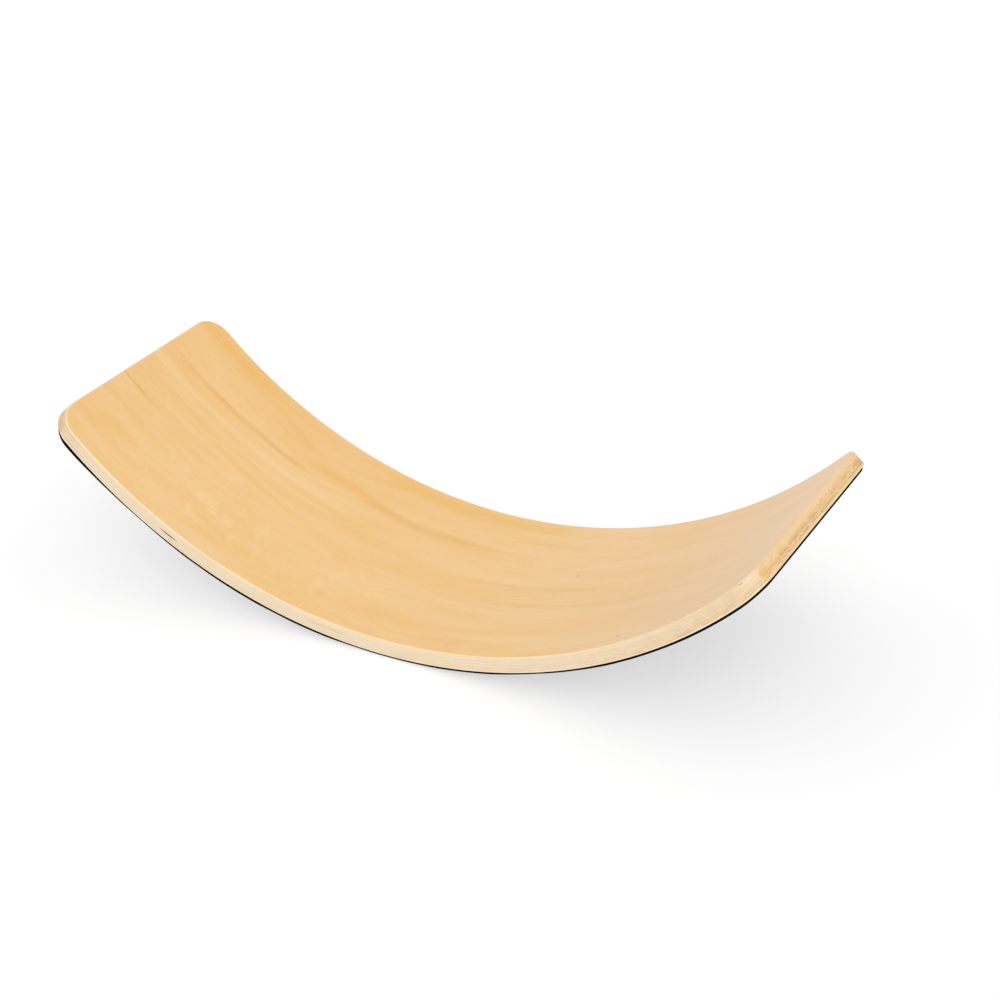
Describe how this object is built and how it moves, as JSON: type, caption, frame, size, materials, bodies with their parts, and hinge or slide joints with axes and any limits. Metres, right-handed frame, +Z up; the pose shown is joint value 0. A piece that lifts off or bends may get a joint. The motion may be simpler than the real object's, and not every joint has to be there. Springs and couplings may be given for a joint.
{
  "type": "curved balance board",
  "caption": "Curved rocker board pressed from cross-laminated wood veneers, with rounded corners and a felt-covered underside, to stand, sit or rock on.",
  "frame": {"origin": "on the floor under the middle of the board, where the felt touches it", "axes": "+X along the length, +Y across the width and along the bend axis, +Z up"},
  "size_m": [0.83, 0.29, 0.2],
  "materials": {
    "face_veneer": "clear satin lacquer over pale rotary-cut veneer",
    "long_grain_ply": "sanded side grain, clear satin lacquer",
    "cross_grain_ply": "sanded end grain, clear satin lacquer",
    "felt": "matte pressed wool felt"
  },
  "bodies": {
    "root": {"top_face_veneer": "face_veneer", "cross_ply_1": "cross_grain_ply", "long_ply_1": "long_grain_ply", "cross_ply_2": "cross_grain_ply", "long_ply_2": "long_grain_ply", "cross_ply_3": "cross_grain_ply", "long_ply_3": "long_grain_ply", "cross_ply_4": "cross_grain_ply", "long_ply_4": "long_grain_ply", "cross_ply_5": "cross_grain_ply", "bottom_face_veneer": "face_veneer", "felt_cover": "felt"}
  },
  "joints": []
}
